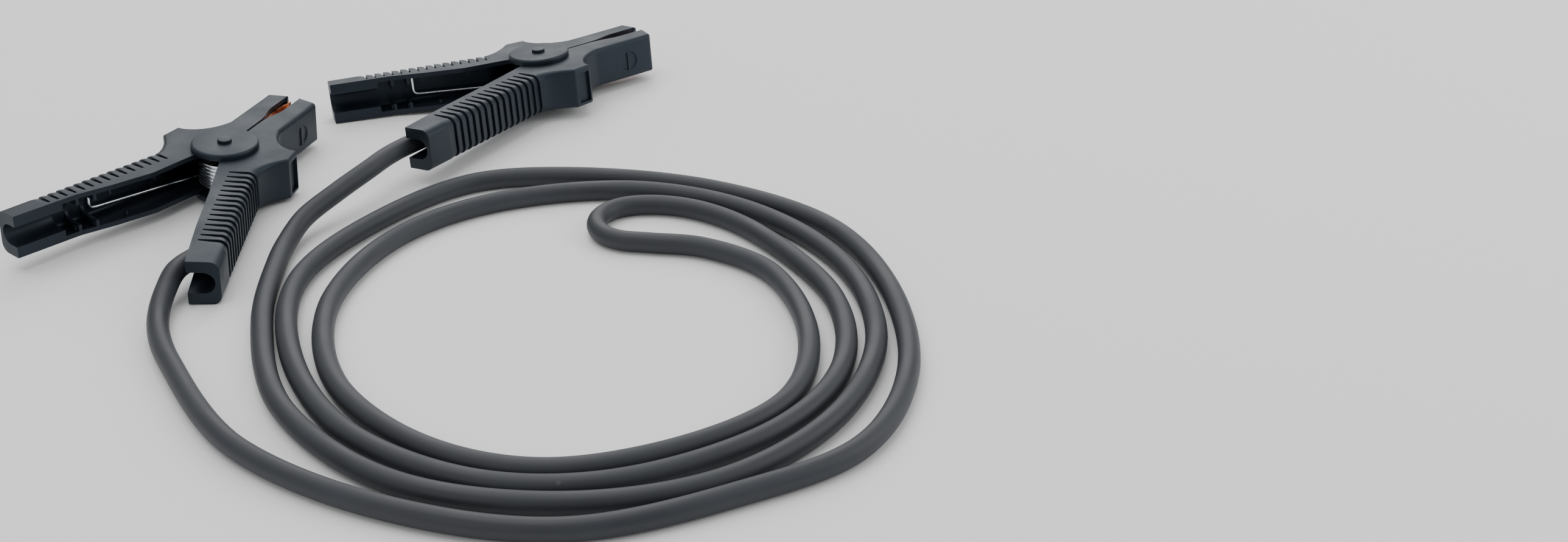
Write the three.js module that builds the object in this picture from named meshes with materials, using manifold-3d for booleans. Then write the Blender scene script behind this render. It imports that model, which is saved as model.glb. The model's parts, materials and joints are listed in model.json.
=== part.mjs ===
// A car jumper lead: one insulated cable with a sprung plastic clamp on each end.
// Millimetres, +Z up. The lead lies on the floor at z = 0, doubled and coiled one and a half times.
// A clamp's own frame has its pivot axis on Z, its jaws along +X, its free half on +Y and its lead half
// on -Y. z = 0 there is the outer face of the lower disc.
import * as THREE from "three";
import { mergeVertices } from "three/addons/utils/BufferGeometryUtils.js";
import Module from "manifold-3d";

const wasm = await Module();
wasm.setup();

// Clearances
const gap = 0.3; // between pieces that touch, and between pieces that turn on each other
const overrun = 1; // how far a cut reaches past the face that it opens

// Clamp housing
const housingThickness = 22.4; // between the two flat faces of a half
const wall = 2.5;
const edgeRadius = 3.6; // along the outer edges of the housing
const edgeSteps = 2;
const discRadius = 17;
const discProud = 3.2;
const discEdge = 1;
const discSink = 0.4; // how far a disc is let into the face of the other half
const lugRadius = 10.5;
const roundSides = 40;

// Jaws
const jawReach = 70; // from the pivot axis to the tip
const jawHalfWidth = 14.8;
const jawTipSlant = 2.6; // how far the outer corner of the tip lies behind the inner one
const jawTipCorner = 2;
const jawFrontWall = 3;
const slitHalf = 0.6; // half of the slit between the two halves
const biteHalf = 3.7; // half of the gap between the plastic tips
const biteStart = 50; // where that gap has its full width
const biteRamp = 13; // length of the stretch that opens it

// Shoulder between jaw and handle, and the sweep that leads up to it from the jaw
const shoulderReach = 36.4;
const shoulderFront = 11.5;
const shoulderFrontDrop = 1.6;
const shoulderBack = 0;
const shoulderCheek = 3.8; // straight stretch between the sweep and the shoulder's corner
const sweepLength = 17.5;
const sweepBow = { u: 3, v: 4.2 }; // how far the sweep's control point stands off its inner corner
const neckU = -18;
const neckReach = 29.4;
const neckDip = 0.8; // how far the stretch behind the shoulder sags below a straight line
const windowWidth = 7.6;
const windowHeight = 16.8;
const windowDepth = 1;

// Handles. A lip is the inner edge of a half: pairs of distance along the handle from the neck and
// distance inwards from the outer wall.
const handleSplay = THREE.MathUtils.degToRad(20);
const leadHandle = { length: 95.4, endLip: 15.5, wedge: 6.5, lip: [[27, 18.8], [59.5, 17.8]] };
const freeHandle = { length: 90, endLip: 12.4, wedge: 9.6, lip: [[16, 20], [38, 17.1], [56, 13.6]] };
const wedgeBack = 16; // how far behind the pivot the wedge between the halves ends
const innerReach = 24; // safely beyond the widest lip
const endSection = 26; // length of the thick-walled section at the handle's end
const seatRadius = 5.4; // round seat that holds the lead
const seatWall = 2.4; // plastic between the seat and the outside of the handle
const ribThickness = 1.6;
const ribPitch = 8.8;
const ribCount = 2;

// Pivot pin
const pinRadius = 3.2;
const pinHeadRadius = 3.9;
const pinHeadHeight = 1.6;
const pinSides = 24;

// Torsion spring
const wireRadius = 0.9;
const wireSides = 6;
const coilRadius = 13.7; // to the middle of the wire
const coilTurns = 7; // whole turns, beside the part turn between the two arms
const coilStepsPerTurn = 14;
const armLength = 43.6; // along the handle, from the neck to the arm's end
const armRise = 3.2; // how far the lower arm climbs from the coil to its end
const armLeg = 9.5; // length of the leg bent up at that end

// Copper jaw plates. The profile gives distance from the pivot and distance from the slit's middle.
const plateThickness = 1;
const plateProfile = [[38, 1.5], [46, 1.6], [51, 2.5], [60, 2.5], [66, 1.4], [69.4, 1.9]];
const strapWidth = 8; // the strap that carries the current from the lead to the lead half's plate
const strapProfile = [[-3.6, 23], [7, 20.4], [12.9, 14.3], [18, 9.6], [27, 4.8], [40, 1.5]];

// Lead. In a clamp's frame its route is seated in the lead half's handle, and between the clamps it is
// on the floor, where a point with no height of its own lies flat.
const leadRadius = 5;
const leadSides = 10;
const leadSteps = 96;
const leadFloorGap = 0.1;
const seatedAtA = [[-4, -23], [-19, -20.8], [-47, -31], [-75, -41.2], [-90, -38], [-105, -36.8]];
const seatedAtB = [[-4, -23], [-19, -20.8], [-47, -31], [-75, -41.2], [-92, -40], [-109, -43.5], [-125.5, -50]];
const floorRoute = [
  [-71.3, -191, 9.2], [-70.5, -206, 6.5], [-66, -224, 5.3],
  [-53.5, -251], [-8.5, -319.5], [60.5, -364.5], [130.5, -380], [197, -357], [244, -326], [266.5, -268],
  [262, -186], [235, -123], [175.5, -79], [104.5, -62], [54.5, -68], [14, -108.5], [-13.5, -169],
  [-4, -240], [34.5, -309.5], [92.5, -346.5], [148, -347.5], [209.5, -313], [238, -264], [236.5, -197.5],
  [200, -130], [175, -106.5], [155, -98.2],
  [138.5, -98], [129, -102.4], [122.9, -111.1], [122, -121.5], [126.4, -131], [135.1, -137.1], [150, -140.2],
  [175.5, -146], [206.5, -171], [224.5, -232.5], [215, -288], [177, -322], [120, -339], [71.5, -323.5],
  [23.5, -272], [5.5, -196.5], [25.5, -129.5], [67.5, -92.5], [137, -80], [195.5, -104.5], [241, -163],
  [254.5, -238], [234, -303.5], [188.5, -348.5], [128.5, -363], [60.5, -347], [4.5, -291], [-22, -214.5],
  [-28, -158, 5.2], [-27.5, -137, 6.2], [-22.5, -117, 10], [-9.5, -98, 15], [3, -80, 18.6],
];

// Places of the pivots on the floor, and the directions that the jaws point in. Each clamp leans
// over to one side, because its lower disc stands proud of its underside.
const clampPlaces = {
  a: { x: -73.7, y: -66.6, heading: 72.4, lowSide: -1 },
  b: { x: 77.8, y: 52.5, heading: 39, lowSide: 1 },
};

// Colours
const blackPlastic = { color: 0x2c2f33, roughness: 0.55, metalness: 0 };
const blackRubber = { color: 0x26292c, roughness: 0.5, metalness: 0 };
const brightZinc = { color: 0xc9ced2, roughness: 0.25, metalness: 1 };
const copper = { color: 0xb8693c, roughness: 0.35, metalness: 1 };

// Levels in a clamp's frame
const bottomFace = discProud;
const topFace = bottomFace + housingThickness;
const discTop = topFace + discProud;
const middle = (bottomFace + topFace) / 2;
const cavityLow = bottomFace + wall;
const cavityHigh = topFace - wall;

// The free handle's directions: along it from the neck, and inwards from its outer wall
const along = new THREE.Vector2(-Math.cos(handleSplay), Math.sin(handleSplay));
const inward = new THREE.Vector2(-Math.sin(handleSplay), -Math.cos(handleSplay));
const neck = new THREE.Vector2(neckU, neckReach);

function point(u, v) {
  return new THREE.Vector2(u, v);
}

function handlePoint(distance, inset) {
  return neck.clone().addScaledVector(along, distance).addScaledVector(inward, inset);
}

// A closed geometry as a manifold solid, and back
function solid(geometry) {
  const bare = new THREE.BufferGeometry();
  bare.setAttribute("position", geometry.getAttribute("position"));
  bare.setIndex(geometry.index);
  const merged = mergeVertices(bare, 1e-4);
  const vertProperties = new Float32Array(merged.attributes.position.array);
  const triVerts = new Uint32Array(merged.index.array);
  return new wasm.Manifold(new wasm.Mesh({ numProp: 3, vertProperties, triVerts }));
}

function geometryOf(body) {
  const made = body.getMesh();
  const geometry = new THREE.BufferGeometry();
  geometry.setAttribute("position", new THREE.BufferAttribute(made.vertProperties, 3));
  geometry.setIndex(new THREE.BufferAttribute(made.triVerts, 1));
  geometry.computeVertexNormals();
  return geometry;
}

// The same geometry on the other side of the plane y = 0
function mirrored(geometry) {
  const flipped = geometry.clone();
  const position = flipped.getAttribute("position");
  for (let i = 0; i < position.count; i++) {
    position.setY(i, -position.getY(i));
  }
  const index = flipped.index;
  for (let i = 0; i < index.count; i += 3) {
    const second = index.getX(i + 1);
    index.setX(i + 1, index.getX(i + 2));
    index.setX(i + 2, second);
  }
  flipped.computeVertexNormals();
  return flipped;
}

// A straight prism over an outline, between two heights
function prism(points, low, high) {
  const geometry = new THREE.ExtrudeGeometry(new THREE.Shape(points), {
    depth: high - low,
    bevelEnabled: false,
  });
  return solid(geometry.translate(0, 0, low));
}

// The same with rounded edges at its top and bottom
function roundedPrism(points, low, high, radius) {
  const geometry = new THREE.ExtrudeGeometry(new THREE.Shape(points), {
    depth: high - low - 2 * radius,
    bevelEnabled: true,
    bevelSize: radius,
    bevelThickness: radius,
    bevelOffset: -radius,
    bevelSegments: edgeSteps,
  });
  return solid(geometry.translate(0, 0, low + radius));
}

function circle(radius, sides) {
  const points = [];
  for (let i = 0; i < sides; i++) {
    const angle = (2 * Math.PI * i) / sides;
    points.push(point(radius * Math.cos(angle), radius * Math.sin(angle)));
  }
  return points;
}

function cylinder(radius, low, high, sides = roundSides) {
  return prism(circle(radius, sides), low, high);
}

// A disc on the upper or the lower face, with its outer rim rounded
function pivotDisc(onTop) {
  const low = onTop ? topFace - discSink : 0;
  const high = onTop ? discTop : bottomFace + discSink;
  const hidden = 2 * discEdge;
  if (onTop) {
    const rimmed = roundedPrism(circle(discRadius, roundSides), low - hidden, high, discEdge);
    return rimmed.intersect(cylinder(discRadius + overrun, low, high + overrun));
  }
  const rimmed = roundedPrism(circle(discRadius, roundSides), low, high + hidden, discEdge);
  return rimmed.intersect(cylinder(discRadius + overrun, low - overrun, high));
}

// The outer wall of the free half from the jaw's tip to the neck, moved inwards by an inset
function outerWall(tip, inset) {
  const cheek = shoulderReach - shoulderFrontDrop - shoulderCheek;
  const path = new THREE.Path();
  path.moveTo(tip, jawHalfWidth - inset);
  path.lineTo(shoulderFront + sweepLength, jawHalfWidth - inset);
  path.quadraticCurveTo(
    shoulderFront + sweepBow.u - 0.7 * inset,
    jawHalfWidth + sweepBow.v - 0.7 * inset,
    shoulderFront - inset,
    cheek,
  );
  path.lineTo(shoulderFront - inset, shoulderReach - shoulderFrontDrop - inset);
  path.lineTo(shoulderBack + inset / 2, shoulderReach - inset);
  path.quadraticCurveTo(neckU / 2, neckReach - inset - neckDip, neckU, neckReach - inset);
  return path.getPoints(6);
}

function halfOutline(handle) {
  const out = -2 * overrun;
  const corner = jawReach - jawTipSlant;
  const ramp = biteHalf - slitHalf;
  return [
    point(corner, jawHalfWidth - jawTipCorner),
    point(corner - jawTipCorner + out, jawHalfWidth - out),
    ...outerWall(corner - 2 * jawTipCorner + out, out),
    handlePoint(handle.length, out),
    handlePoint(handle.length, handle.endLip),
    ...handle.lip.map(([distance, inset]) => handlePoint(distance, inset)).reverse(),
    point(-wedgeBack, handle.wedge),
    point(-slitHalf, gap),
    point(slitHalf, slitHalf),
    point(biteStart - biteRamp, slitHalf),
    point(biteStart - biteRamp * 0.65, slitHalf + ramp * 0.2),
    point(biteStart - biteRamp * 0.35, slitHalf + ramp * 0.8),
    point(biteStart, biteHalf),
    point(jawReach, biteHalf),
  ];
}

// The same, reaching past its inner edge and its ends, so that only the outer edges are rounded
function blockOutline(handle) {
  const past = 3 * edgeRadius;
  return [
    point(jawReach + past, -past),
    ...outerWall(jawReach + past, 0),
    handlePoint(handle.length + past, 0),
    handlePoint(handle.length + past, innerReach + past),
    point(-wedgeBack, -past),
  ];
}

// The hollow of a half, open along its inner side, from the jaw's front wall to the first rib
function cavityOutline(handle) {
  const front = jawReach - jawTipSlant - jawFrontWall;
  const firstRib = handle.length - endSection - ribCount * ribPitch;
  return [
    point(front, -edgeRadius),
    ...outerWall(front, wall),
    handlePoint(firstRib, wall),
    handlePoint(firstRib, innerReach),
    point(-wedgeBack, -edgeRadius),
  ];
}

// The space between two ribs
function bayOutline(handle, bay) {
  const end = handle.length - endSection - bay * ribPitch;
  const start = end - ribPitch + ribThickness;
  return [
    handlePoint(start, wall),
    handlePoint(end, wall),
    handlePoint(end, innerReach),
    handlePoint(start, innerReach),
  ];
}

// The slot with a round bottom that seats the lead, along the last stretch of the handle
function seatSlot(handle) {
  const start = handle.length - endSection - ribCount * ribPitch - overrun;
  const seatInset = seatWall + seatRadius;
  const shape = new THREE.Shape();
  shape.moveTo(innerReach, -seatRadius);
  shape.lineTo(innerReach, seatRadius);
  shape.lineTo(seatInset, seatRadius);
  shape.absarc(seatInset, 0, seatRadius, Math.PI / 2, 1.5 * Math.PI, false);
  const geometry = new THREE.ExtrudeGeometry(shape, {
    depth: handle.length + overrun - start,
    bevelEnabled: false,
    curveSegments: 6,
  });
  const foot = handlePoint(start, 0);
  const frame = new THREE.Matrix4().makeBasis(
    new THREE.Vector3(inward.x, inward.y, 0),
    new THREE.Vector3(0, 0, 1),
    new THREE.Vector3(along.x, along.y, 0),
  );
  frame.setPosition(foot.x, foot.y, middle);
  return solid(geometry.applyMatrix4(frame));
}

// The shallow rectangular panel in the end face of the shoulder
function shoulderWindow() {
  const front = point(shoulderFront, shoulderReach - shoulderFrontDrop);
  const back = point(shoulderBack, shoulderReach);
  const centre = front.clone().add(back).multiplyScalar(0.5);
  const geometry = new THREE.BoxGeometry(windowWidth, 2 * windowDepth, windowHeight);
  geometry.rotateZ(Math.atan2(back.y - front.y, back.x - front.x));
  return solid(geometry.translate(centre.x, centre.y, middle));
}

// One half of the housing, where the free half is. Its disc is on its upper or its lower face, and on
// the other face it has the lug that turns under the disc of the other half.
function housingHalf(handle, discOnTop) {
  const sunk = discSink + gap;
  const levels = discOnTop
    ? {
        disc: [cavityHigh - overrun, topFace + overrun],
        lug: [bottomFace + sunk, cavityLow],
        recess: [0, bottomFace + sunk],
      }
    : {
        disc: [bottomFace - overrun, cavityLow + overrun],
        lug: [cavityHigh, topFace - sunk],
        recess: [topFace - sunk, discTop],
      };
  let half = roundedPrism(blockOutline(handle), bottomFace, topFace, edgeRadius);
  half = half.intersect(prism(halfOutline(handle), bottomFace - overrun, topFace + overrun));
  half = half.subtract(prism(cavityOutline(handle), cavityLow, cavityHigh));
  for (let bay = 0; bay < ribCount; bay++) {
    half = half.subtract(prism(bayOutline(handle, bay), cavityLow, cavityHigh));
  }
  half = half.subtract(seatSlot(handle));
  half = half.subtract(shoulderWindow());
  half = half.subtract(cylinder(lugRadius + gap, ...levels.disc));
  half = half.add(pivotDisc(discOnTop));
  half = half.add(cylinder(lugRadius, ...levels.lug));
  half = half.subtract(cylinder(discRadius + gap, ...levels.recess));
  return half.subtract(cylinder(pinRadius + gap, -overrun, discTop + overrun, pinSides));
}

// The pin runs through both discs. Its head lies on the upper one.
function pivotPin() {
  const shaft = cylinder(pinRadius, 2 * gap, discTop + pinHeadHeight, pinSides);
  const head = roundedPrism(
    circle(pinHeadRadius, pinSides),
    discTop + gap,
    discTop + gap + pinHeadHeight,
    pinHeadHeight / 3,
  );
  return geometryOf(shaft.add(head));
}

// A smooth curve through a list of points, whose steps follow the list and not the length
class ListedCurve extends THREE.CatmullRomCurve3 {
  getPointAt(share, target) {
    return this.getPoint(share, target);
  }

  getTangentAt(share, target) {
    return this.getTangent(share, target);
  }
}

function tube(points, radius, sides, steps) {
  return new THREE.ExtrudeGeometry(new THREE.Shape(circle(radius, sides)), {
    steps,
    bevelEnabled: false,
    extrudePath: new ListedCurve(points),
  });
}

// Wire from the lower arm's bent leg along that arm, up the close turns and out along the upper arm
function torsionSpring() {
  const seat = handlePoint(armLength, wall + gap + wireRadius);
  const departure = seat.angle() - Math.acos(coilRadius / seat.length());
  const low = cavityLow + gap + wireRadius;
  const high = cavityHigh - gap - wireRadius;
  const turning = 2 * Math.PI * coilTurns + 2 * departure;
  const steps = Math.round((turning / (2 * Math.PI)) * coilStepsPerTurn);
  const start = point(coilRadius * Math.cos(departure), coilRadius * Math.sin(departure));
  const points = [
    new THREE.Vector3(seat.x, seat.y, low + armRise + armLeg),
    new THREE.Vector3(seat.x, seat.y, low + armRise + 2 * wireRadius),
    new THREE.Vector3(seat.x + wireRadius, seat.y - wireRadius / 2, low + armRise),
  ];
  for (const share of [0.3, 0.6]) {
    const onArm = seat.clone().lerp(start, share);
    points.push(new THREE.Vector3(onArm.x, onArm.y, low + armRise * (1 - share)));
  }
  for (let i = 0; i <= steps; i++) {
    const angle = departure - (turning * i) / steps;
    const height = low + ((high - low) * i) / steps;
    points.push(new THREE.Vector3(coilRadius * Math.cos(angle), coilRadius * Math.sin(angle), height));
  }
  for (const share of [0.6, 0.3, 0]) {
    const onArm = seat.clone().lerp(start, share);
    points.push(new THREE.Vector3(onArm.x, -onArm.y, high));
  }
  return tube(points, wireRadius, wireSides, points.length - 1);
}

// A strip of sheet copper that stands on edge along a profile
function strip(profile, low, high) {
  const curve = new THREE.CatmullRomCurve3(profile.map(([u, v]) => new THREE.Vector3(u, v, 0)));
  const divisions = 3 * (profile.length - 1);
  const near = [];
  const far = [];
  for (let i = 0; i <= divisions; i++) {
    const place = curve.getPoint(i / divisions);
    const tangent = curve.getTangent(i / divisions);
    near.push(point(place.x, place.y));
    far.unshift(point(place.x - plateThickness * tangent.y, place.y + plateThickness * tangent.x));
  }
  return prism([...near, ...far], low, high);
}

function freeJawPlate() {
  return geometryOf(strip(plateProfile, cavityLow + gap, cavityHigh - gap));
}

function leadJawPlate() {
  const plate = strip(plateProfile, cavityLow + gap, cavityHigh - gap);
  const strap = strip(strapProfile, middle - strapWidth / 2, middle + strapWidth / 2);
  return mirrored(geometryOf(plate.add(strap)));
}

// The angle at which a clamp rests on the edge of its lower disc and on the end of a handle
function leanOf(geometry) {
  const position = geometry.getAttribute("position");
  const rim = discRadius - discEdge;
  let slope = Infinity;
  for (let i = 0; i < position.count; i++) {
    const reach = Math.abs(position.getY(i));
    if (reach > discRadius + overrun) {
      slope = Math.min(slope, position.getZ(i) / (reach - rim));
    }
  }
  return Math.atan(slope);
}

function mesh(name, geometry, look) {
  const made = new THREE.Mesh(geometry, new THREE.MeshStandardMaterial(look));
  made.name = name;
  return made;
}

const shapes = {
  leadHalf: mirrored(geometryOf(housingHalf(leadHandle, true))),
  freeHalf: geometryOf(housingHalf(freeHandle, false)),
  pin: pivotPin(),
  spring: torsionSpring(),
  leadPlate: leadJawPlate(),
  freePlate: freeJawPlate(),
};

function clamp(letter, place) {
  const lowHalf = place.lowSide < 0 ? shapes.leadHalf : shapes.freeHalf;
  const lean = leanOf(lowHalf);
  const made = new THREE.Group();
  made.add(
    mesh(`clamp_${letter}_lead_half`, shapes.leadHalf, blackPlastic),
    mesh(`clamp_${letter}_free_half`, shapes.freeHalf, blackPlastic),
    mesh(`clamp_${letter}_pivot_pin`, shapes.pin, blackPlastic),
    mesh(`clamp_${letter}_torsion_spring`, shapes.spring, brightZinc),
    mesh(`clamp_${letter}_lead_jaw_plate`, shapes.leadPlate, copper),
    mesh(`clamp_${letter}_free_jaw_plate`, shapes.freePlate, copper),
  );
  made.rotation.set(-place.lowSide * lean, 0, THREE.MathUtils.degToRad(place.heading), "ZYX");
  made.position.set(place.x, place.y, (discRadius - discEdge) * Math.sin(lean));
  made.updateMatrixWorld(true);
  return made;
}

// One tube from inside one clamp's handle, round the floor and up into the other's
function lead(clampA, clampB) {
  const seated = (holder, places) =>
    places.map(([u, v]) => new THREE.Vector3(u, v, middle).applyMatrix4(holder.matrixWorld));
  const lying = floorRoute.map(([x, y, z = leadRadius + leadFloorGap]) => new THREE.Vector3(x, y, z));
  const points = [...seated(clampA, seatedAtA), ...lying, ...seated(clampB, seatedAtB).reverse()];
  return tube(points, leadRadius, leadSides, leadSteps);
}

const group = new THREE.Group();
const clampA = clamp("a", clampPlaces.a);
const clampB = clamp("b", clampPlaces.b);
const clamps = new THREE.Group();
clamps.add(clampA, clampB);
group.add(clamps, mesh("lead_cable", lead(clampA, clampB), blackRubber));

// The origin is on the floor under the middle of the two clamps' box
const box = new THREE.Box3().setFromObject(clamps, true);
const centre = box.getCenter(new THREE.Vector3());
group.position.set(-centre.x, -centre.y, 0);

export default group;
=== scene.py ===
import json
import math
import bmesh
import bpy
from mathutils import Matrix, Vector


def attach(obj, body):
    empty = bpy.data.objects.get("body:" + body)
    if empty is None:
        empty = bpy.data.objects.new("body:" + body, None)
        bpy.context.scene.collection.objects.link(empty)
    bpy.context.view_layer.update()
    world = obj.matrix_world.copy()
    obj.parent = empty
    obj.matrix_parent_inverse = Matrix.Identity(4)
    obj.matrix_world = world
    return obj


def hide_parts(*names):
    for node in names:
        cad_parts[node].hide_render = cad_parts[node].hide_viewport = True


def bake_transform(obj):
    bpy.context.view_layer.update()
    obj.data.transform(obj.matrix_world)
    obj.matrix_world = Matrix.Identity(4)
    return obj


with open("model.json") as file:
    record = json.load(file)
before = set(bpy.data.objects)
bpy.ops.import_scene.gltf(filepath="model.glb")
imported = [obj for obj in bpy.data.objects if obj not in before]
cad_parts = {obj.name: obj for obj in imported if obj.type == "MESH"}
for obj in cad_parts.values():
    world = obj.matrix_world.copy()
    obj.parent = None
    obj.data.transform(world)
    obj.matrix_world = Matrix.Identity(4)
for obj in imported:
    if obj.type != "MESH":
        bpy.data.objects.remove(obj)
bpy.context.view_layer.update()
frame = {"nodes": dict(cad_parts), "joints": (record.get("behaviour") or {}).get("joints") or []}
mm = 0.001
root = "lead_and_fixed_halves"  # body that the lead halves, the cable and the pins ride on


# Camera, solved from the photograph
camera = {
    "place": (0.2258468, -0.9475354, 0.43116),
    "pitch": 0.480756,
    "roll": -0.0137443,
    "lens": 44.917,
    "sensor": 36,
}


def makeCamera():
    data = bpy.data.cameras.new("camera")
    data.sensor_fit = "HORIZONTAL"
    data.sensor_width = camera["sensor"]
    data.lens = camera["lens"]
    data.clip_start = 0.02
    data.clip_end = 50
    eye = bpy.data.objects.new("camera", data)
    bpy.context.scene.collection.objects.link(eye)
    pitch, roll = camera["pitch"], camera["roll"]
    level = Vector((1, 0, 0))
    rise = Vector((0, math.sin(pitch), math.cos(pitch)))
    forward = Vector((0, math.cos(pitch), -math.sin(pitch)))
    right = math.cos(roll) * level + math.sin(roll) * rise
    top = math.cos(roll) * rise - math.sin(roll) * level
    turn = Matrix((right, top, -forward)).transposed().to_4x4()
    eye.matrix_world = Matrix.Translation(camera["place"]) @ turn
    bpy.context.scene.camera = eye


makeCamera()
print("stage: camera")


# Mesh building. Points are in mm in a clamp's own frame: pivot on Z, jaws along +X, free half on +Y
clampHeading = {"a": 72.4, "b": 39.0}
pivotMiddle = 14.4  # height of the hinge's point above the lower disc


def hingeOf(letter):
    return next(j for j in frame["joints"] if j["name"] == f"clamp_{letter}_hinge")


def clampFrame(letter):
    joint = hingeOf(letter)
    heading = math.radians(clampHeading[letter])
    axis = Vector(joint["axis"]).normalized()
    ahead = Vector((math.cos(heading), math.sin(heading), 0))
    turn = Matrix((ahead, axis.cross(ahead), axis)).transposed().to_4x4()
    origin = Vector(joint["pos_m"]) - axis * pivotMiddle * mm
    return Matrix.Translation(origin) @ turn @ Matrix.Scale(mm, 4)


def makeObject(name, parts, place, material, sharp=32):
    points, faces = [], []
    for partPoints, partFaces in parts:
        start = len(points)
        points += [place @ Vector(p) for p in partPoints]
        faces += [[start + i for i in face] for face in partFaces]
    if place.determinant() < 0:
        faces = [face[::-1] for face in faces]
    data = bpy.data.meshes.new(name)
    data.from_pydata(points, [], faces)
    data.validate()
    made = bpy.data.objects.new(name, data)
    bpy.context.scene.collection.objects.link(made)
    data.polygons.foreach_set("use_smooth", [True] * len(data.polygons))
    if sharp:
        data.set_sharp_from_angle(angle=math.radians(sharp))
    data.materials.append(material)
    return made


def grid(rows, closeAcross=False, closeAlong=False):
    width = len(rows[0])
    points = [p for row in rows for p in row]
    faces = []
    for i in range(len(rows) - (0 if closeAlong else 1)):
        for k in range(width - (0 if closeAcross else 1)):
            a, b = i * width, ((i + 1) % len(rows)) * width
            n = (k + 1) % width
            faces.append([a + k, b + k, b + n, a + n])
    return points, faces


def tubeAlong(path, radius, sides):
    rows = []
    tangent = (path[1] - path[0]).normalized()
    side = tangent.orthogonal().normalized()
    for i, place in enumerate(path):
        ahead = path[min(i + 1, len(path) - 1)] - path[max(i - 1, 0)]
        side = (side - ahead * side.dot(ahead) / ahead.length_squared).normalized()
        up = ahead.cross(side).normalized()
        row = []
        for k in range(sides):
            angle = -2 * math.pi * k / sides
            row.append(place + radius * (math.cos(angle) * side + math.sin(angle) * up))
        rows.append(row)
    points, faces = grid(rows, closeAcross=True)
    last = len(points) - sides
    faces.append(list(range(sides)))
    faces.append(list(range(last, last + sides))[::-1])
    return points, faces


def lathe(profile, sides):
    rows = []
    for i in range(sides):
        angle = 2 * math.pi * i / sides
        rows.append([(r * math.cos(angle), r * math.sin(angle), z) for r, z in profile])
    return grid(rows, closeAcross=True, closeAlong=True)


def block(centre, size, turn=0.0):
    points = []
    for x in (-0.5, 0.5):
        for y in (-0.5, 0.5):
            for z in (-0.5, 0.5):
                dx, dy = x * size[0], y * size[1]
                points.append((
                    centre[0] + dx * math.cos(turn) - dy * math.sin(turn),
                    centre[1] + dx * math.sin(turn) + dy * math.cos(turn),
                    centre[2] + z * size[2],
                ))
    faces = [[0, 1, 3, 2], [4, 6, 7, 5], [0, 4, 5, 1], [2, 3, 7, 6], [0, 2, 6, 4], [1, 5, 7, 3]]
    return points, faces


def between(table, value):
    for (x0, y0), (x1, y1) in zip(table, table[1:]):
        if value <= x1:
            share = max(0.0, (value - x0) / (x1 - x0))
            return y0 + (y1 - y0) * share
    return table[-1][1]


# Materials
def newMaterial(name):
    made = bpy.data.materials.new(name)
    made.use_nodes = True
    nodes = made.node_tree.nodes
    return made, nodes, made.node_tree.links, nodes["Principled BSDF"]


def addNoise(nodes, links, scale, detail, stretch=(1, 1, 1)):
    where = nodes.new("ShaderNodeTexCoord")
    turned = nodes.new("ShaderNodeMapping")
    turned.inputs["Scale"].default_value = stretch
    noise = nodes.new("ShaderNodeTexNoise")
    noise.inputs["Scale"].default_value = scale
    noise.inputs["Detail"].default_value = detail
    links.new(where.outputs["Object"], turned.inputs["Vector"])
    links.new(turned.outputs["Vector"], noise.inputs["Vector"])
    return noise.outputs["Fac"]


def addRange(nodes, links, source, fromLow, fromHigh, toLow, toHigh):
    made = nodes.new("ShaderNodeMapRange")
    made.inputs["From Min"].default_value = fromLow
    made.inputs["From Max"].default_value = fromHigh
    made.inputs["To Min"].default_value = toLow
    made.inputs["To Max"].default_value = toHigh
    links.new(source, made.inputs["Value"])
    return made.outputs["Result"]


def addMix(nodes, links, share, first, second):
    made = nodes.new("ShaderNodeMix")
    made.data_type = "RGBA"
    made.inputs["A"].default_value = (*first, 1)
    made.inputs["B"].default_value = (*second, 1)
    links.new(share, made.inputs["Factor"])
    return made.outputs["Result"]


def addBump(nodes, links, shader, source, strength, distance):
    made = nodes.new("ShaderNodeBump")
    made.inputs["Strength"].default_value = strength
    made.inputs["Distance"].default_value = distance
    links.new(source, made.inputs["Height"])
    links.new(made.outputs["Normal"], shader.inputs["Normal"])


plasticLook = {
    "dark": (0.0065, 0.0096, 0.0150),
    "light": (0.0105, 0.0150, 0.0225),
    "specular": 0.4,
    "tint": (0.72, 0.86, 1.0),
    "grain": 3200,
    "grainStrength": 0.16,
    "grainHeight": 0.00006,
    "patches": 60,
    "roughLow": 0.40,
    "roughHigh": 0.54,
}


def makePlastic():
    made, nodes, links, shader = newMaterial("moulded black plastic")
    patches = addNoise(nodes, links, plasticLook["patches"], 4)
    grain = addNoise(nodes, links, plasticLook["grain"], 3)
    tint = addRange(nodes, links, patches, 0.3, 0.7, 0, 1)
    base = addMix(nodes, links, tint, plasticLook["dark"], plasticLook["light"])
    links.new(base, shader.inputs["Base Color"])
    rough = addRange(
        nodes, links, patches, 0.3, 0.7, plasticLook["roughLow"], plasticLook["roughHigh"]
    )
    links.new(rough, shader.inputs["Roughness"])
    shader.inputs["Specular IOR Level"].default_value = plasticLook["specular"]
    shader.inputs["Specular Tint"].default_value = (*plasticLook["tint"], 1)
    addBump(
        nodes, links, shader, grain, plasticLook["grainStrength"], plasticLook["grainHeight"]
    )
    return made


sheathLook = {
    "dark": (0.025, 0.028, 0.035),
    "light": (0.036, 0.040, 0.048),
    "scuff": (0.10, 0.105, 0.11),
    "specular": 0.42,
    "grain": 1400,
    "grainStrength": 0.12,
    "grainHeight": 0.0001,
    "patches": 28,
    "scuffScale": 90,
    "scuffStretch": (1, 2.4, 1),
    "scuffFrom": 0.74,
    "scuffTo": 0.8,
    "scuffMost": 0.7,
    "roughLow": 0.46,
    "roughHigh": 0.6,
}


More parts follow.
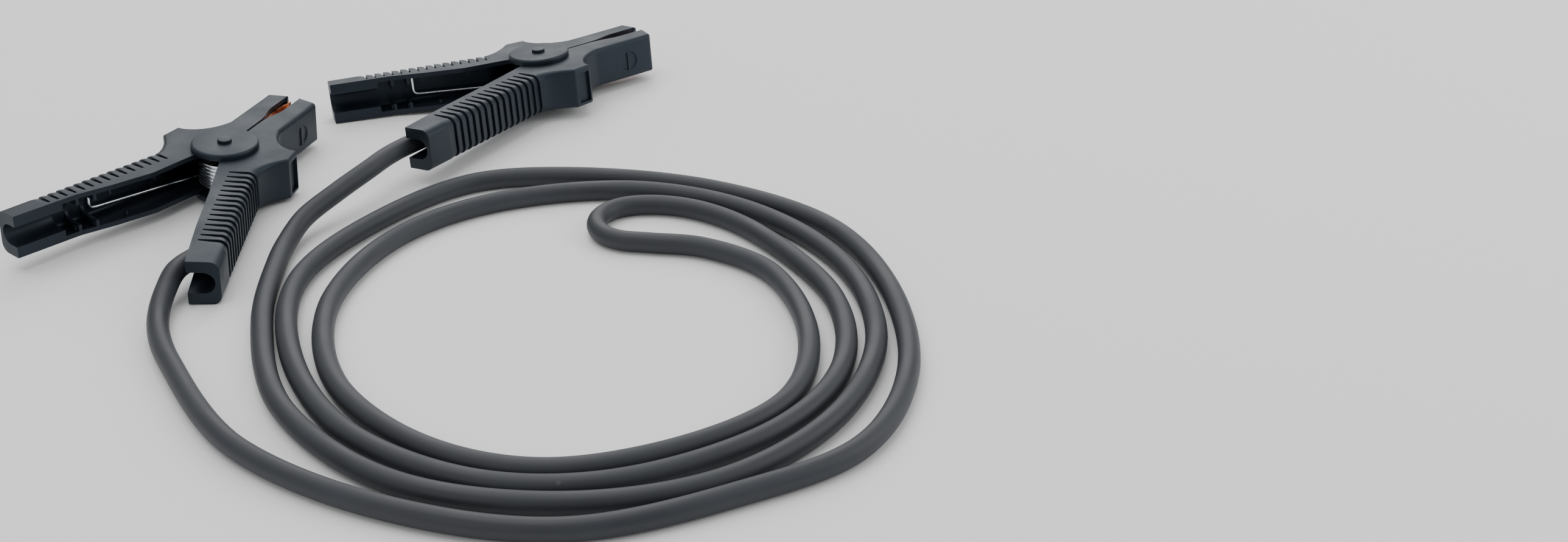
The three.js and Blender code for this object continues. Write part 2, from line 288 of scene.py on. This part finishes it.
def makeSheath():
    made, nodes, links, shader = newMaterial("cable sheath")
    patches = addNoise(nodes, links, sheathLook["patches"], 5)
    grain = addNoise(nodes, links, sheathLook["grain"], 3)
    marks = addNoise(nodes, links, sheathLook["scuffScale"], 6, sheathLook["scuffStretch"])
    tint = addRange(nodes, links, patches, 0.3, 0.7, 0, 1)
    base = addMix(nodes, links, tint, sheathLook["dark"], sheathLook["light"])
    low, high = sheathLook["scuffFrom"], sheathLook["scuffTo"]
    scuffs = addRange(nodes, links, marks, low, high, 0, sheathLook["scuffMost"])
    worn = nodes.new("ShaderNodeMix")
    worn.data_type = "RGBA"
    worn.inputs["B"].default_value = (*sheathLook["scuff"], 1)
    links.new(scuffs, worn.inputs["Factor"])
    links.new(base, worn.inputs["A"])
    links.new(worn.outputs["Result"], shader.inputs["Base Color"])
    rough = addRange(
        nodes, links, patches, 0.3, 0.7, sheathLook["roughLow"], sheathLook["roughHigh"]
    )
    links.new(rough, shader.inputs["Roughness"])
    shader.inputs["Specular IOR Level"].default_value = sheathLook["specular"]
    addBump(nodes, links, shader, grain, sheathLook["grainStrength"], sheathLook["grainHeight"])
    return made


metalLook = {
    "zincDark": (0.70, 0.75, 0.80),
    "zincLight": (0.92, 0.95, 0.98),
    "zincRough": (0.16, 0.26),
    "zincPatches": 420,
    "copperDark": (0.50, 0.17, 0.08),
    "copperLight": (0.86, 0.40, 0.22),
    "copperRough": (0.22, 0.42),
    "copperPatches": 260,
    "bumpStrength": 0.05,
    "bumpHeight": 0.0001,
}


def makeMetal(kind, name):
    dark, light = metalLook[kind + "Dark"], metalLook[kind + "Light"]
    made, nodes, links, shader = newMaterial(name)
    patches = addNoise(nodes, links, metalLook[kind + "Patches"], 5)
    tint = addRange(nodes, links, patches, 0.35, 0.65, 0, 1)
    links.new(addMix(nodes, links, tint, dark, light), shader.inputs["Base Color"])
    rough = addRange(nodes, links, patches, 0.3, 0.7, *metalLook[kind + "Rough"])
    links.new(rough, shader.inputs["Roughness"])
    shader.inputs["Metallic"].default_value = 1
    addBump(nodes, links, shader, patches, metalLook["bumpStrength"], metalLook["bumpHeight"])
    return made


plastic = makePlastic()
sheath = makeSheath()
zinc = makeMetal("zinc", "zinc wire")
copper = makeMetal("copper", "copper sheet")
print("stage: materials")


# The lead's cable, on the same points as its solid, in metres
leadRoute = [
    (-0.0403, -0.0363, 0.0138), (-0.0469, -0.0500, 0.0140), (-0.0457, -0.0797, 0.0132),
    (-0.0445, -0.1095, 0.0125), (-0.0521, -0.1228, 0.0127), (-0.0577, -0.1368, 0.0128),
    (-0.0596, -0.1497, 0.0092), (-0.0588, -0.1647, 0.0065), (-0.0543, -0.1827, 0.0053),
    (-0.0418, -0.2097, 0.0051), (0.0032, -0.2782, 0.0051), (0.0722, -0.3232, 0.0051),
    (0.1422, -0.3387, 0.0051), (0.2087, -0.3157, 0.0051), (0.2557, -0.2847, 0.0051),
    (0.2782, -0.2267, 0.0051), (0.2737, -0.1447, 0.0051), (0.2467, -0.0817, 0.0051),
    (0.1872, -0.0377, 0.0051), (0.1162, -0.0207, 0.0051), (0.0662, -0.0267, 0.0051),
    (0.0257, -0.0672, 0.0051), (-0.0018, -0.1277, 0.0051), (0.0077, -0.1987, 0.0051),
    (0.0462, -0.2682, 0.0051), (0.1042, -0.3052, 0.0051), (0.1597, -0.3062, 0.0051),
    (0.2212, -0.2717, 0.0051), (0.2497, -0.2227, 0.0051), (0.2482, -0.1562, 0.0051),
    (0.2117, -0.0887, 0.0051), (0.1867, -0.0652, 0.0051), (0.1667, -0.0569, 0.0051),
    (0.1502, -0.0567, 0.0051), (0.1407, -0.0611, 0.0051), (0.1346, -0.0698, 0.0051),
    (0.1337, -0.0802, 0.0051), (0.1381, -0.0897, 0.0051), (0.1468, -0.0958, 0.0051),
    (0.1617, -0.0989, 0.0051), (0.1872, -0.1047, 0.0051), (0.2182, -0.1297, 0.0051),
    (0.2362, -0.1912, 0.0051), (0.2267, -0.2467, 0.0051), (0.1887, -0.2807, 0.0051),
    (0.1317, -0.2977, 0.0051), (0.0832, -0.2822, 0.0051), (0.0352, -0.2307, 0.0051),
    (0.0172, -0.1552, 0.0051), (0.0372, -0.0882, 0.0051), (0.0792, -0.0512, 0.0051),
    (0.1487, -0.0387, 0.0051), (0.2072, -0.0632, 0.0051), (0.2527, -0.1217, 0.0051),
    (0.2662, -0.1967, 0.0051), (0.2457, -0.2622, 0.0051), (0.2002, -0.3072, 0.0051),
    (0.1402, -0.3217, 0.0051), (0.0722, -0.3057, 0.0051), (0.0162, -0.2497, 0.0051),
    (-0.0103, -0.1732, 0.0051), (-0.0163, -0.1167, 0.0052), (-0.0158, -0.0957, 0.0062),
    (-0.0108, -0.0757, 0.0100), (0.0022, -0.0567, 0.0150), (0.0147, -0.0387, 0.0186),
    (0.0226, -0.0230, 0.0195), (0.0314, -0.0076, 0.0190), (0.0424, 0.0058, 0.0187),
    (0.0564, 0.0156, 0.0188), (0.0717, 0.0411, 0.0180), (0.0871, 0.0666, 0.0172),
    (0.1001, 0.0744, 0.0174),
]
cable = {"radius": 0.005, "length": 3.41, "stepsPerStretch": 14, "roundness": 7}


def curveThrough(points, steps):
    # centripetal Catmull-Rom, as in the solid
    ends = [points[0] * 2 - points[1], *points, points[-1] * 2 - points[-2]]
    made = []
    for p0, p1, p2, p3 in zip(ends, ends[1:], ends[2:], ends[3:]):
        d0, d1, d2 = (math.sqrt((b - a).length) for a, b in ((p0, p1), (p1, p2), (p2, p3)))
        t1 = ((p1 - p0) / d0 - (p2 - p0) / (d0 + d1) + (p2 - p1) / d1) * d1
        t2 = ((p2 - p1) / d1 - (p3 - p1) / (d1 + d2) + (p3 - p2) / d2) * d1
        for i in range(steps):
            s = i / steps
            made.append(
                p1 + t1 * s
                + (3 * (p2 - p1) - 2 * t1 - t2) * s ** 2
                + (2 * (p1 - p2) + t1 + t2) * s ** 3
            )
    return [*made, points[-1]]


def makeCable():
    path = curveThrough([Vector(p) for p in leadRoute], cable["stepsPerStretch"])
    data = bpy.data.curves.new("cable", "CURVE")
    data.dimensions = "3D"
    data.bevel_depth = cable["radius"]
    data.bevel_resolution = cable["roundness"]
    data.use_fill_caps = True
    line = data.splines.new("POLY")
    line.points.add(len(path) - 1)
    for node, place in zip(line.points, path):
        node.co = (*place, 1)
    line.use_smooth = True
    data.materials.append(sheath)
    made = bpy.data.objects.new("cable", data)
    bpy.context.scene.collection.objects.link(made)
    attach(made, root)
    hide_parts("lead_cable")
    print("cable length", sum((b - a).length for a, b in zip(path, path[1:])))


makeCable()
print("stage: cable")


# Housing halves: a C section swept round the outline, from the jaw's tip to the handle's end
housing = {
    "low": 3.2,
    "height": 22.4,
    "wall": 2.5,
    "flange": 2.5,
    "jawReach": 70,
    "tipOuter": 67.4,
    "tipRadius": 2.2,
    "tipEdge": 1.3,
    "tipSlope": 3.6,  # how far the tip's inner line runs back
    "jawHalf": 14.8,
    "jawEdge": 2.4,
    "biteHalf": 3.7,
    "bite": [(0.6, 0.6), (30, 0.6), (37, 0.75), (41.5, 1.35), (46, 2.6), (49.5, 3.45), (52.5, 3.7),
             (80, 3.7)],
    "slit": 0.6,
    "sweepStart": 29,
    "sweepPull": (14.5, 19),
    "shoulderFoot": (11.5, 31),
    "shoulderFront": (11.5, 34.8),
    "shoulderBack": (0, 36.4),
    "shoulderEdge": 1.5,
    "dipPull": (-9, 28.6),
    "neck": (-18, 29.4),
    "wedgeAt": -16,
    "splay": 20,
    "handleEdge": 4.6,
    "thickEnd": 26,
    "seatInset": 7.8,
    "seatRadius": 5.4,
    "ribPitch": 8.8,
    "ribThick": 1.6,
    "arcSteps": 8,
    "wallRows": [0.05, 0.0876, 0.094, 0.218, 0.4, 0.56, 0.75, 0.908, 0.963, 0.969, 0.985],
}
leadSide = {
    "length": 95.4,
    "lip": [(-9.71, 20.8), (27, 18.8), (59.5, 17.8), (95.4, 15.5)],
    "wedge": 6.5,
    "grooveEnd": 13.6,
    "lastGroove": 73.7,
}
freeSide = {
    "length": 90,
    "lip": [(-8.65, 17.9), (16, 20), (38, 17.1), (56, 13.6), (90, 12.4)],
    "wedge": 9.6,
    "grooveEnd": 11.7,
    "lastGroove": 69.2,
}
grip = {
    "count": 15,
    "first": 1.4,
    "depth": 1.5,
    # distance from the slot, share of its depth, share of the ramp's
    "section": [(-0.5, 0, 0), (-0.32, 1, 0), (0.32, 1, 0), (0.6, 0.1, 0.4), (1.5, 0, 0.26),
                (2.5, 0, 0.12), (3.4, 0, 0.04), (4.1, 0, 0)],
    "tail": 4.3,  # from the last slot to the collar
    "step": 0.25,
    "inset": 0.15,  # how far the gripped stretch lies below the neck and the collar
    "runOut": 0.4,
}
window = {"from": 2.2, "to": 9.9, "depth": 1.7, "edge": 0.12, "rows": (0.09, 0.966)}
sign = {
    "reach": 50.9,
    "height": 10.1,
    "radius": 5.5,
    "bar": 0.75,
    "depth": 0.7,
    "slope": 0.35,
    "barSlope": 0.25,
    "half": 6.2,
    "cells": 50,
}
splay = math.radians(housing["splay"])
along = Vector((-math.cos(splay), math.sin(splay)))
inward = Vector((-math.sin(splay), -math.cos(splay)))


def onHandle(distance, inset):
    return Vector(housing["neck"]) + along * distance + inward * inset


def bow(a, c, b, steps):
    a, b, c = Vector(a), Vector(b), Vector(c)
    shares = [i / steps for i in range(steps + 1)]
    return [(1 - s) ** 2 * a + 2 * s * (1 - s) * c + s * s * b for s in shares]


def rounded(a, corner, b, radius, steps):
    a, b, corner = Vector(a), Vector(b), Vector(corner)
    inA, inB = (a - corner).normalized(), (b - corner).normalized()
    half = inA.angle(inB) / 2
    reach = radius / math.tan(half)
    centre = corner + (inA + inB).normalized() * (radius / math.sin(half))
    start, end = corner + inA * reach - centre, corner + inB * reach - centre
    turn = start.angle_signed(end)
    made = []
    for i in range(steps + 1):
        angle = -turn * i / steps
        made.append(centre + Vector((
            start.x * math.cos(angle) - start.y * math.sin(angle),
            start.x * math.sin(angle) + start.y * math.cos(angle),
        )))
    return made


def gripStations(side):
    pitch = (side["lastGroove"] - grip["first"]) / (grip["count"] - 1)
    stations = {0.0: (0, 0), grip["step"]: (0, 0)}
    for i in range(grip["count"]):
        middle = grip["first"] + pitch * i
        for distance, slot, ramp in grip["section"]:
            stations[round(middle + distance, 3)] = (slot, ramp)
    return stations


def thickStretches(side):
    start = side["length"] - housing["thickEnd"]
    ribs = [start - housing["ribPitch"] * k for k in (2, 1)]
    return [(r, r + housing["ribThick"]) for r in ribs] + [(start, side["length"] + 1)]


def makeColumns(side):
    # a column has its place p on the wall, its edge's radius r, the lip's place q and what marks it
    wallHalf, tip = housing["jawHalf"], Vector((housing["tipOuter"], housing["jawHalf"]))
    tipIn = Vector((housing["jawReach"], housing["biteHalf"]))
    sweepStart = (housing["sweepStart"], wallHalf)
    edge, slit = housing["shoulderEdge"], housing["slit"]
    columns = []

    def add(place, radius, inner, **marks):
        columns.append({
            "p": Vector(place), "r": radius, "q": Vector(inner), "groove": 0, "ramp": 0,
            "section": 0, "thick": False, "window": False, **marks,
        })

    # jaw: tip, its rounded corner and the straight side
    corner = rounded(tipIn, tip, sweepStart, housing["tipRadius"], 5)
    for i in range(6):
        share = i / 5
        back = 68.6 - housing["tipSlope"] * share
        add(tipIn.lerp(corner[0], share), housing["tipEdge"], (back, housing["biteHalf"]))
    for i, place in enumerate(corner[1:]):
        radius = housing["tipEdge"] + 0.2 * (i + 1)
        add(place, radius, (65 - 0.8 * (i + 1), housing["biteHalf"]))
    low, high = sign["reach"] - sign["half"], sign["reach"] + sign["half"]
    for u in (high, 54.5, 52.5, 50.9, 49.5, 47.6, 46, low, 43, 41.5, 39, 37, 34.5, 32, 30):
        inner = min(u, 60)
        add((u, wallHalf), housing["jawEdge"], (inner, between(housing["bite"], inner)))

    # sweep up to the shoulder, and the shoulder with its window
    sweep = bow(sweepStart, housing["sweepPull"], housing["shoulderFoot"], 16)
    for i, place in enumerate(sweep):
        share = i / 16
        add(place, housing["jawEdge"] - 0.9 * share, (housing["sweepStart"] - 17 * share, slit))
    front, back = Vector(housing["shoulderFront"]), Vector(housing["shoulderBack"])
    for i, place in enumerate(rounded(housing["shoulderFoot"], front, back, 1.4, 4)):
        add(place, edge, (11 - 0.8 * i, slit))
    for u, sunk in (
        (window["to"] + window["edge"], False), (window["to"], True), (7.5, True), (4.5, True),
        (window["from"], True), (window["from"] - window["edge"], False),
    ):
        place = front.lerp(back, (front.x - u) / front.x)
        add(place, edge, (3 + 0.45 * u, slit), window=sunk)
    dip = bow(back, housing["dipPull"], housing["neck"], 16)
    for i, place in enumerate(rounded(front, back, dip[1], 1.3, 4)):
        add(place, edge, (2.4 - 0.6 * i, slit if i < 3 else 0.45))

    # down to the neck, while the inner lip runs out along the wedge
    wedge = Vector((housing["wedgeAt"], side["wedge"]))
    start = onHandle(0, between(side["lip"], 0))
    for i, place in enumerate(dip[3:-1]):
        share = (i + 1) / 14
        if share < 0.6:
            inner = Vector((0, 0.4)).lerp(wedge, share / 0.6)
        else:
            inner = wedge.lerp(start, (share - 0.6) / 0.4)
        add(place, edge + 3.1 * share ** 1.5, inner)

    # handle
    stations = gripStations(side)
    lastGrip = side["lastGroove"] + grip["tail"]
    stations[round(lastGrip, 3)] = (0, 0)
    stations[round(lastGrip + grip["step"], 3)] = (0, 0)
    for extra in (80, 84, 88, side["length"] - 1.5, side["length"]):
        if extra > lastGrip + 0.5 and extra <= side["length"]:
            stations[float(extra)] = (0, 0)
    edges = [e for pair in thickStretches(side) for e in pair if e < side["length"]]
    for distance in sorted({*stations, *edges}):
        inGrip = 0.2 < distance < lastGrip + 0.1
        if distance in stations:
            slot, ramp = stations[distance]
        else:
            ordered = sorted(stations.items())
            slot, ramp = (between([(d, m[k]) for d, m in ordered], distance) for k in (0, 1))
        marks = {"groove": slot, "ramp": ramp, "section": 1 if inGrip else 0}
        place, inner = onHandle(distance, 0), onHandle(distance, between(side["lip"], distance))
        if distance in edges:  # two columns, one for each thickness
            starts = any(abs(distance - a) < 1e-6 for a, b in thickStretches(side))
            add(place, housing["handleEdge"], inner, thick=not starts, **marks)
            add(place, housing["handleEdge"], inner, thick=starts, **marks)
        else:
            inside = any(a <= distance <= b for a, b in thickStretches(side))
            add(place, housing["handleEdge"], inner, thick=inside, **marks)

    # d points from the wall into the half
    for i, column in enumerate(columns):
        before, after = i, i
        while before > 0 and (columns[before]["p"] - column["p"]).length < 1e-4:
            before -= 1
        while after < len(columns) - 1 and (columns[after]["p"] - column["p"]).length < 1e-4:
            after += 1
        forward = (columns[after]["p"] - columns[before]["p"]).normalized()
        column["d"] = Vector((-forward.y, forward.x))
    return columns


def sectionOf(column, side):
    # the outer and the inner loop of a column, from the upper lip over the wall to the lower lip
    p, d, r, q = column["p"], column["d"], column["r"], column["q"]
    height, wall, flange = housing["height"], housing["wall"], housing["flange"]
    steps = housing["arcSteps"]
    edge = p + d * r
    span = (q - edge).length
    slot, ramp = grip["depth"] * column["groove"], grip["depth"] * column["ramp"]
    sink = slot + ramp
    onWall = grip["inset"] * column["section"]
    outer, inner = [], []
    past = min((side["grooveEnd"] + grip["runOut"] - r) / span, 0.8)
    before = min((side["grooveEnd"] - grip["runOut"] - r) / span, 0.7)
    shares = [1.0, max(0.86, (1 + past) / 2), past, before, before * 0.6, before * 0.3]
    sunk = [(0, 0), (0, 0), (0, 0), (1, 0.06), (1, 0.45), (1, 0.8)]
    top = []
    for share, (slotShare, rampShare) in zip(shares, sunk):
        drop = (slot * slotShare + ramp * rampShare) * (1 if span > 6 else 0)
        top.append((edge.lerp(q, share), drop))
    for place, drop in top:
        outer.append((place.x, place.y, height - drop))
        if column["thick"]:
            move = place + d * max(0, housing["seatInset"] - (place - p).dot(d))
            inner.append((move.x, move.y, height / 2 + housing["seatRadius"]))
        else:
            inner.append((place.x, place.y, height - flange))
    angles = [90 - 90 * k / steps for k in range(steps + 1)]
    hollow = max(r, wall + 0.3)
    profile = []
    for angle in angles:
        a = math.radians(angle)
        deep = sink + onWall * math.cos(a)
        level = height - r + (r - deep) * math.sin(a)
        place = p + d * (r - (r - deep) * math.cos(a))
        profile.append((place, level))
        core = hollow - wall
        inside = p + d * (hollow - core * math.cos(a))
        inner.append((inside.x, inside.y, height - hollow + core * math.sin(a)))
    outer += [(place.x, place.y, level) for place, level in profile]
    for share in housing["wallRows"]:
        level = height - r - share * (height - 2 * r)
        deep = sink + onWall
        if column["window"] and window["rows"][0] < share < window["rows"][1]:
            deep += window["depth"]
        place = p + d * deep
        outer.append((place.x, place.y, level))
        inside = p + d * wall
        inner.append((inside.x, inside.y, height - hollow - share * (height - 2 * hollow)))
    outer += [(place.x, place.y, height - level) for place, level in profile[::-1]]
    flipped = [(x, y, height - z) for x, y, z in inner[len(top):len(top) + steps + 1]]
    inner += flipped[::-1]
    outer += [(place.x, place.y, drop) for place, drop in top[::-1]]
    inner += [(x, y, height - z) for x, y, z in inner[:len(top)][::-1]]
    if column["thick"]:  # the round seat, spread over all rows between the two flanges
        first, last = len(top), len(inner) - len(top)
        centre = p + d * housing["seatInset"]
        for k in range(first, last):
            a = math.pi / 2 - math.pi * (k - first) / (last - first - 1)
            place = centre - d * housing["seatRadius"] * math.cos(a)
            inner[k] = (place.x, place.y, height / 2 + housing["seatRadius"] * math.sin(a))
    lift = housing["low"]
    return [(x, y, z + lift) for x, y, z in outer], [(x, y, z + lift) for x, y, z in inner]


def signPatch():
    cells, half = sign["cells"], sign["half"]
    rows = []
    for i in range(cells + 1):
        row = []
        for k in range(cells + 1):
            x, z = half - 2 * half * i / cells, half - 2 * half * k / cells
            distance = math.hypot(x, z)
            deep = min(1, max(0, (sign["radius"] - distance) / sign["slope"]))
            if abs(x) < sign["bar"] + sign["barSlope"]:
                deep *= min(1, max(0, (abs(x) - sign["bar"]) / sign["barSlope"]))
            row.append((
                sign["reach"] + x,
                housing["jawHalf"] - sign["depth"] * deep,
                housing["low"] + sign["height"] + z,
            ))
        rows.append(row)
    points, faces = grid(rows)
    return points, [face[::-1] for face in faces]


def halfShell(side, withSign):
    columns = makeColumns(side)
    loops = [sectionOf(c, side) for c in columns]
    count = len(loops[0][0])
    points, faces = grid([outer for outer, _ in loops])
    if withSign:
        kept = []
        for face in faces:
            middle = sum((Vector(points[i]) for i in face), Vector()) / 4
            inU = abs(middle.x - sign["reach"]) < sign["half"]
            inZ = abs(middle.z - housing["low"] - sign["height"]) < sign["half"]
            if not (inU and inZ and middle.y > housing["jawHalf"] - 0.5):
                kept.append(face)
        faces = kept
    inner, innerFaces = grid([inside for _, inside in loops])
    start = len(points)
    points += inner
    faces += [[start + i for i in face[::-1]] for face in innerFaces]
    for i in range(len(loops) - 1):  # the two lips
        a, b = i * count, (i + 1) * count
        faces.append([a, start + a, start + b, b])
        faces.append([a + count - 1, b + count - 1, start + b + count - 1, start + a + count - 1])
    last = (len(loops) - 1) * count
    for k in range(count - 1):  # the two ends
        faces.append([k, k + 1, start + k + 1, start + k])
        faces.append([last + k, start + last + k, start + last + k + 1, last + k + 1])
    return points, faces


disc = {
    "radius": 17,
    "proud": 3.2,
    "edge": 1.5,
    "hole": 3.5,
    "lift": 0.1,
    "sides": 96,
    "collar": 16.6,  # low band under the disc's back edge
    "collarDepth": 15.6,
    "collarHalf": 0.3,
}


def pivotDisc(onTop):
    top = housing["low"] + housing["height"]
    profile = [(disc["hole"], top + disc["proud"])]
    profile.append((disc["radius"] * 0.5, top + disc["proud"]))
    for k in range(9):
        a = math.radians(90 - 90 * k / 8)
        profile.append((
            disc["radius"] - disc["edge"] + disc["edge"] * math.cos(a),
            top + disc["proud"] - disc["edge"] + disc["edge"] * math.sin(a),
        ))
    profile.append((disc["radius"], top + disc["lift"]))
    profile.append((disc["hole"], top + disc["lift"]))
    points, faces = lathe(profile, disc["sides"])
    if not onTop:
        points = [(x, y, 2 * top - housing["height"] - z) for x, y, z in points]
        faces = [face[::-1] for face in faces]
    arc = [math.pi * k / 24 for k in range(25)]
    rim = [
        (disc["collar"] * math.cos(a), 0.9 + disc["collarDepth"] * math.sin(a)) for a in arc
    ]
    base = (top if onTop else housing["low"]) - disc["collarHalf"]
    band = [(x, y, base + rise) for rise in (0, 2 * disc["collarHalf"]) for x, y in rim]
    sides = [[k, (k + 1) % 25, 25 + (k + 1) % 25, 25 + k] for k in range(25)]
    return [(points, faces), (band, sides)]


stubs = {  # small lugs in the free handle: places along and across, and whether on the upper flange
    "lower": [(-76.3, 37.7), (-68.3, 32.6), (-53, 24.5)],
    "upper": [(-60.5, 27.6), (-38, 17.2)],
    "size": (1.1, 1.6, 2.6),
    "inset": 1.2,
}


def handleStubs():
    lift = housing["flange"] + stubs["inset"]
    lower, upper = housing["low"] + lift, housing["low"] + housing["height"] - lift
    places = [(u, v, lower) for u, v in stubs["lower"]] + [(u, v, upper) for u, v in stubs["upper"]]
    return [block((u + 0.5, v + 0.8, z), stubs["size"], -splay) for u, v, z in places]


def mergeClose(piece):
    work = bmesh.new()
    work.from_mesh(piece.data)
    bmesh.ops.remove_doubles(work, verts=work.verts, dist=1e-6)
    bmesh.ops.dissolve_degenerate(work, edges=work.edges, dist=1e-7)
    bmesh.ops.recalc_face_normals(work, faces=work.faces)
    work.to_mesh(piece.data)
    work.free()
    piece.data.polygons.foreach_set("use_smooth", [True] * len(piece.data.polygons))
    piece.data.set_sharp_from_angle(angle=math.radians(32))


def makeHalf(letter, kind):
    side = leadSide if kind == "lead" else freeSide
    parts = [halfShell(side, kind == "lead"), *pivotDisc(kind == "lead")]
    place = clampFrame(letter)
    if kind == "lead":
        parts.append(signPatch())
        place = place @ Matrix.Diagonal((1, -1, 1, 1))
    else:
        parts += handleStubs()
    name = f"clamp_{letter}_{kind}_housing"
    made = makeObject(name, parts, place, plastic)
    mergeClose(made)
    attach(made, root if kind == "lead" else f"clamp_{letter}_free_side")
    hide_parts(f"clamp_{letter}_{kind}_half")
    return made


for letter in "ab":
    for kind in ("lead", "free"):
        made = makeHalf(letter, kind)
        print("stage:", made.name, len(made.data.polygons), "faces")


# Pivot pins
pin = {"radius": 3.2, "head": 3.6, "base": 28.85, "top": 30.4, "edge": 0.5, "foot": 0.6}


def makePin(letter):
    profile = [
        (0.001, pin["foot"]), (pin["radius"], pin["foot"]),
        (pin["radius"], pin["base"]), (pin["head"], pin["base"]),
    ]
    for k in range(6):
        a = math.radians(90 * k / 5)
        profile.append((
            pin["head"] - pin["edge"] + pin["edge"] * math.cos(a),
            pin["top"] - pin["edge"] + pin["edge"] * math.sin(a),
        ))
    profile.append((0.001, pin["top"] + 0.1))
    points, faces = lathe(profile, 48)
    parts = [(points, [face[::-1] for face in faces])]
    made = makeObject(f"clamp_{letter}_pin", parts, clampFrame(letter), plastic)
    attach(made, root)
    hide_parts(f"clamp_{letter}_pivot_pin")


# Torsion springs, with one arm laid along the free half's handle wall
spring = {
    "wire": 0.95,
    "coil": 13.7,
    "turns": 7,
    "stepsPerTurn": 44,
    "sides": 12,
    "armEnd": 43.6,
    "gap": 0.35,  # between the arm and the handle's wall
    "rise": 3.2,
    "leg": 9.5,
    "low": 6.95,
    "high": 21.85,
}


def makeSpring(letter):
    seat = onHandle(spring["armEnd"], housing["wall"] + spring["gap"] + spring["wire"])
    departure = math.atan2(seat.y, seat.x) - math.acos(spring["coil"] / seat.length)
    low, high, coil = spring["low"], spring["high"], spring["coil"]
    turning = 2 * math.pi * spring["turns"] + 2 * departure
    start = Vector((math.cos(departure), math.sin(departure))) * coil
    bend = low + spring["rise"]
    arm = [
        Vector((seat.x, seat.y, bend + spring["leg"])),
        Vector((seat.x, seat.y, bend + spring["leg"] * 0.5)),
        Vector((seat.x, seat.y, bend + 2.4)),
        Vector((seat.x + 0.25, seat.y - 0.1, bend + 1.2)),
        Vector((seat.x + 0.9, seat.y - 0.4, bend + 0.3)),
    ]
    for share in (0.04, 0.2, 0.4, 0.6, 0.8, 0.93):
        onArm = seat.lerp(start, share)
        arm.append(Vector((onArm.x, onArm.y, low + spring["rise"] * (1 - share) ** 1.15)))
    path = curveThrough(arm, 5)
    steps = round(turning / (2 * math.pi) * spring["stepsPerTurn"])
    for i in range(steps + 1):
        angle = departure - turning * i / steps
        height = low + (high - low) * i / steps
        path.append(Vector((coil * math.cos(angle), coil * math.sin(angle), height)))
    for share in (0.9, 0.6, 0.3, 0):
        onArm = seat.lerp(start, share)
        path.append(Vector((onArm.x, -onArm.y, high)))
    parts = [tubeAlong(path, spring["wire"], spring["sides"])]
    place = clampFrame(letter)
    made = makeObject(f"clamp_{letter}_spring", parts, place, zinc, sharp=60)
    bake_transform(made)
    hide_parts(f"clamp_{letter}_torsion_spring")


for letter in "ab":
    makePin(letter)
    makeSpring(letter)
    for kind in ("lead", "free"):
        plate = frame["nodes"][f"clamp_{letter}_{kind}_jaw_plate"]
        plate.data.materials.clear()
        plate.data.materials.append(copper)
print("stage: pins, springs and copper")


# Floor and light
studio = {
    "floor": (0.93, 0.93, 0.93),
    "floorHalf": 6,
    "world": 0.5,
    "aim": (0.05, -0.1, 0),
    "lights": [  # name, place, power in watts, size
        ("key", (-0.3, 0.2, 1.9), 22, 1.8),
        ("back", (0.1, 2.3, 1.5), 32, 2.2),
        ("right", (1.5, -0.05, 0.75), 9, 1.2),
        ("front", (-0.8, -1.3, 0.9), 2.5, 0.8),
    ],
}


def makeLight(name, place, power, size):
    data = bpy.data.lights.new(name, "AREA")
    data.energy = power
    data.size = size
    lamp = bpy.data.objects.new(name, data)
    bpy.context.scene.collection.objects.link(lamp)
    lamp.location = place
    ahead = Vector(studio["aim"]) - Vector(place)
    lamp.rotation_euler = ahead.to_track_quat("-Z", "Y").to_euler()


def makeStudio():
    data = bpy.data.meshes.new("floor")
    half = studio["floorHalf"]
    corners = [(-half, -half, 0), (half, -half, 0), (half, half, 0), (-half, half, 0)]
    data.from_pydata(corners, [], [[0, 1, 2, 3]])
    floor = bpy.data.objects.new("floor", data)
    bpy.context.scene.collection.objects.link(floor)
    made, _, _, shader = newMaterial("floor")
    shader.inputs["Base Color"].default_value = (*studio["floor"], 1)
    shader.inputs["Roughness"].default_value = 0.9
    data.materials.append(made)
    world = bpy.data.worlds.new("studio")
    world.use_nodes = True
    world.node_tree.nodes["Background"].inputs["Color"].default_value = (1, 1, 1, 1)
    world.node_tree.nodes["Background"].inputs["Strength"].default_value = studio["world"]
    bpy.context.scene.world = world
    for light in studio["lights"]:
        makeLight(*light)


makeStudio()
print("stage: studio")
